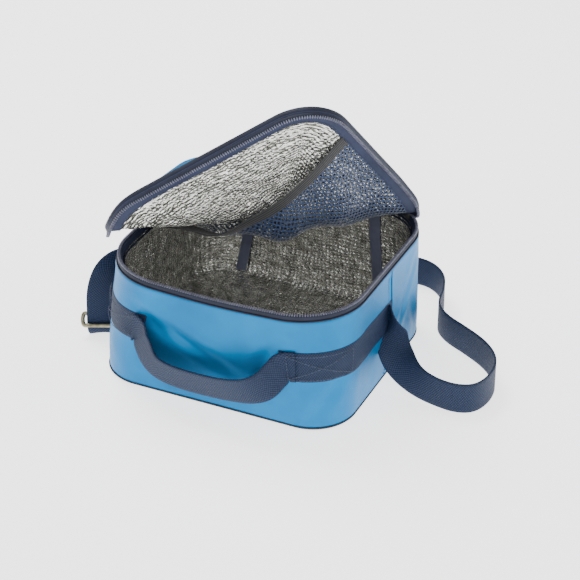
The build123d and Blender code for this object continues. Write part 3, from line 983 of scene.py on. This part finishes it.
def build_handle():
    """Webbing sewn round both front corners, its free loop between, and the box stitching."""
    left_seam, left_end = column_at(-119, SEAM_Y), column_at(-66, -109)
    right_end, right_seam = column_at(69, -109), column_at(119, SEAM_Y)
    for name, first, last in (("left", left_seam, left_end), ("right", right_end, right_seam)):
        heights = np.linspace(BAND_Z - 15, BAND_Z + 15, 12)
        grid = [wall(z, -0.4)[first:last + 1] for z in heights]
        band = sheet_mesh(f"handle_band_{name}_webbing", grid, NAVY_WEB)
        thicken(band, WEBBING, smooth=1)
        finish_piece(band, "bag", "webbing", f"handle_band_{name}")
        box_columns = (last - 15, last - 2) if name == "left" else (first + 2, first + 15)
        box_stitching(f"handle_box_stitches_{name}", box_columns)

    route = (
        # centre of the band, then the direction of its width
        ((-74, -111.3, 64), (0.0, 0.0, 1.0)),
        ((-67, -112.4, 63), (0.05, 0.0, 1.0)),
        ((-62, -117.0, 53), (0.30, -0.1, 0.95)),
        ((-53, -121.0, 38), (0.30, -0.25, 0.92)),
        ((-34, -124.5, 33), (0.12, -0.32, 0.93)),
        ((0, -127.5, 34), (0.0, -0.34, 0.93)),
        ((28, -129.5, 37), (0.0, -0.34, 0.93)),
        ((47, -129.5, 41), (-0.1, -0.25, 0.95)),
        ((60, -125.5, 47), (-0.25, -0.1, 0.95)),
        ((67, -116.5, 57), (-0.2, 0.0, 0.98)),
        ((72, -111.6, 64), (0.0, 0.0, 1.0)),
        ((82, -110.6, 64), (0.0, 0.0, 1.0)),
    )
    centres, widths = ribbon_route("handle_route", route, 10)
    loop = ribbon_mesh("handle_loop_webbing", centres, widths, NAVY_WEB)
    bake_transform(loop)
    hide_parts("handle_loop")


def box_stitching(name, columns):
    """A sewn rectangle with a cross through it, on the flat webbing."""
    low, high = BAND_Z - 11.5, BAND_Z + 11.5
    start, end = columns
    lines = (
        ((start, low), (end, low)), ((start, high), (end, high)), ((start, low), (start, high)),
        ((end, low), (end, high)), ((start, low), (end, high)), ((start, high), (end, low)),
    )
    normals = wall_normals()
    parts = []
    for number, (first, last) in enumerate(lines):
        shares = np.linspace(0, 1, 12)
        columns_here = first[0] + (last[0] - first[0]) * shares
        heights = first[1] + (last[1] - first[1]) * shares
        path = np.array([on_wall(c, z, -2.3) for c, z in zip(columns_here, heights)])
        facing = normals[np.round(columns_here).astype(int)]
        label = f"{name}_{number}"
        parts.append(stitches(label, path, facing, THREAD_NAVY, pitch=2.8, length=2.2, width=0.6))
    joined = join(parts, name)
    finish_piece(joined, "bag", "webbing")


def join(parts, name):
    """Merge several mesh objects into the first of them."""
    work = bmesh.new()
    for part in parts:
        work.from_mesh(part.data)
    first = parts[0]
    work.to_mesh(first.data)
    work.free()
    for polygon in first.data.polygons:
        polygon.use_smooth = True
    for part in parts[1:]:
        bpy.data.objects.remove(part)
    first.name = name
    return first


def nurbs_points(name, points, resolution):
    """Points along a smooth NURBS spline that has the given control points."""
    curve = bpy.data.curves.new(name, "CURVE")
    curve.dimensions = "3D"
    spline = curve.splines.new("NURBS")
    spline.points.add(len(points) - 1)
    for control, point in zip(spline.points, points):
        control.co = (*(np.asarray(point, float) * MM), 1.0)
    spline.order_u = 3
    spline.use_endpoint_u = True
    curve.resolution_u = resolution
    holder = bpy.data.objects.new(name, curve)
    bpy.context.scene.collection.objects.link(holder)
    view = bpy.context.evaluated_depsgraph_get()
    mesh = bpy.data.meshes.new_from_object(holder.evaluated_get(view))
    line = np.array([v.co[:] for v in mesh.vertices]) / MM
    bpy.data.objects.remove(holder)
    bpy.data.curves.remove(curve)
    bpy.data.meshes.remove(mesh)
    return line


def ribbon_route(name, route, resolution):
    """The centre line and width directions of a band, from its control points."""
    centres = nurbs_points(name, [centre for centre, _ in route], resolution)
    beside = [np.add(centre, np.multiply(unit(width), 12)) for centre, width in route]
    edges = nurbs_points(name, beside, resolution)
    return centres, edges - centres


STRAP_ROUTE = (
    # centre of the band, then the direction of its width
    ((121.0, 4, 64), (0, 0, 1)),
    ((124, -4, 60), (0, 0.42, 0.9)),
    ((129, -11, 46), (-0.2, 0.5, 0.84)),
    ((140, -17, 29), (-0.35, 0.42, 0.84)),
    ((156, -22, 19), (-0.3, 0.25, 0.92)),
    ((176, -27, 16.1), (0, 0, 1)),
    ((197, -29, 15.4), (0, 0, 1)),
    ((213, -21, 15), (0, 0, 1)),
    ((219, 2, 15), (0, 0, 1)),
    ((215, 27, 15), (0, 0, 1)),
    ((198, 48, 15), (0, 0, 1)),
    ((172, 64, 15), (0, 0, 1)),
    ((148, 76, 15), (0, 0, 1)),
    ((133, 93, 15), (0, 0, 1)),
    ((130, 117, 15), (0, 0, 1)),
    ((121, 143, 15), (0, 0, 1)),
    ((103, 160, 15), (0, 0, 1)),
    ((82, 163, 15), (0, 0, 1)),
    ((60, 155, 15.5), (0, 0.3, 0.95)),
    ((34, 146, 10.5), (0.1, 0.8, 0.6)),
    ((0, 141, 3), (0, 1, 0.15)),
    ((-38, 143, 1.3), (0, 1, 0)),
    ((-76, 142, 1.3), (-0.1, 1, 0)),
    ((-110, 134, 1.3), (-0.5, 0.85, 0)),
    ((-136, 110, 1.3), (-0.8, 0.6, 0)),
    ((-149, 78, 1.3), (-0.97, 0.2, 0)),
    ((-153, 42, 1.3), (-1, 0, 0)),
    ((-152, 8, 1.3), (-1, -0.05, 0)),
    ((-147, -20, 1.3), (-0.97, -0.2, 0)),
    ((-142.5, -43, 1.3), (-0.93, -0.36, 0)),
    ((-143, -47.5, 5), (-0.906, -0.423, 0)),
    ((-143.5, -46, 22), (-0.906, -0.423, 0)),
    ((-144.5, -43, 46), (-0.906, -0.423, 0.05)),
    ((-140, -34, 65), (-0.7, -0.3, 0.6)),
    ((-130, -18, 68), (-0.2, -0.1, 0.97)),
    ((-123.5, -6, 65), (0, 0, 1)),
    ((-121.2, 4, 64), (0, 0, 1)),
)


def build_strap():
    """One shoulder strap, from the right seam round behind the bag and up to the left seam."""
    centres, widths = ribbon_route("strap_route", STRAP_ROUTE, 8)
    strap = ribbon_mesh("shoulder_strap_webbing", centres, widths, NAVY_WEB)
    finish_piece(strap, "bag", "webbing", "shoulder_strap_right", "shoulder_strap_left")

    turn = math.radians(25)
    across = np.array([math.cos(turn), math.sin(turn), 0.0])
    front = np.array([across[1], -across[0], 0.0])
    middle = np.array([-143.5, -46.0, 0.0])
    path = []
    for side in (1, -1):
        depth, height = (3.4, 12.0) if side > 0 else (-3.4, 21.0)
        ends = (-17.0, 17.0) if side > 0 else (17.0, -17.0)
        for u in np.linspace(ends[0], ends[1], 9):
            path.append(middle + across * u + front * depth + UP * height)
        bow = np.linspace(0, math.pi, 9)[1:-1]
        for a in bow:
            bulge = 17.0 + 2.0 * math.sin(a)
            swing = math.cos(a)
            path.append(middle + across * bulge * side + front * 3.4 * swing * side
                        + UP * (16.5 - 4.5 * swing * side))
    adjuster = tube("strap_adjuster_ring", np.array(path), 2.0, ANTIQUE, closed=True, sides=14)
    finish_piece(adjuster, "adjuster", "adjuster_metal", "strap_adjuster")


# ---------------------------------------------------------------- zipper slider and pull

def rounded_box(name, centre, axes, size, bevel, material):
    """A box with rounded edges, its sides along three given axes."""
    corners = [(x, y, z) for x in (-0.5, 0.5) for y in (-0.5, 0.5) for z in (-0.5, 0.5)]
    points = []
    for corner in corners:
        points.append(centre + sum(np.asarray(axis) * c * s for axis, c, s in zip(axes, corner, size)))
    faces = [(0, 1, 3, 2), (4, 6, 7, 5), (0, 4, 5, 1), (2, 3, 7, 6), (0, 2, 6, 4), (1, 5, 7, 3)]
    piece = new_mesh(name, points, faces, None, material)
    modify(piece, "BEVEL", width=bevel * MM, segments=3)
    bake(piece)
    return piece


def build_slider():
    angle = math.radians(52)
    outward = np.array([math.cos(angle), math.sin(angle), 0.0])
    along = np.array([-outward[1], outward[0], 0.0])
    centre = np.array([71.0, 60.0, 0.0])
    axes = (along, outward, UP)
    parts = [
        rounded_box("slider_a", centre + outward * 48.5 + UP * 113.4, axes, (14.5, 1.5, 8.6), 0.7, GUNMETAL),
        rounded_box("slider_b", centre + outward * 43.9 + UP * 113.4, axes, (14.5, 1.3, 8.6), 0.6, GUNMETAL),
        rounded_box("slider_c", centre + outward * 46.2 + UP * 116.2, axes, (8.0, 5.8, 2.0), 0.8, GUNMETAL),
    ]
    arch = []
    for a in np.linspace(0, math.pi, 13):
        arch.append(centre + outward * (49.2 + 2.0 * math.sin(a)) + UP * (113.9 + 3.2 * math.cos(a)))
    parts.append(tube("slider_d", np.array(arch), 0.75, GUNMETAL))
    slider = join(parts, "zipper_slider_body")
    finish_piece(slider, "slider", "slider_metal", "zipper_slider")

    top, bottom, half = 114.6, 95.5, 2.9
    loop = []
    for a in np.linspace(0, math.pi, 10):
        loop.append((half * math.cos(a), top - half + half * math.sin(a)))
    for a in np.linspace(math.pi, math.tau, 10):
        loop.append((half * math.cos(a), bottom + half + half * math.sin(a)))
    path = np.array([centre + outward * 50.4 + along * x + UP * z for x, z in loop])
    wire = tube("pull_a", path, 0.8, GUNMETAL, closed=True)
    tab = rounded_box("pull_b", centre + outward * 50.4 + UP * 101.0, axes, (6.6, 1.3, 11.5), 0.6, GUNMETAL)
    pull = join([wire, tab], "zipper_pull_tab")
    finish_piece(pull, "pull", "slider_metal", "zipper_pull")


def build_floor():
    floor = new_mesh("floor", [(-9000, -9000, 0), (9000, -9000, 0), (9000, 9000, 0), (-9000, 9000, 0)],
                     [(0, 1, 2, 3)], None, studio_floor("studio_floor"))


build_strap()
build_outer()
build_base()
build_liner()
build_rim()
build_lid_cover()
build_lid_inside()
build_lid_edge()
build_pocket()
build_hinge()
build_handle()
build_slider()
build_floor()
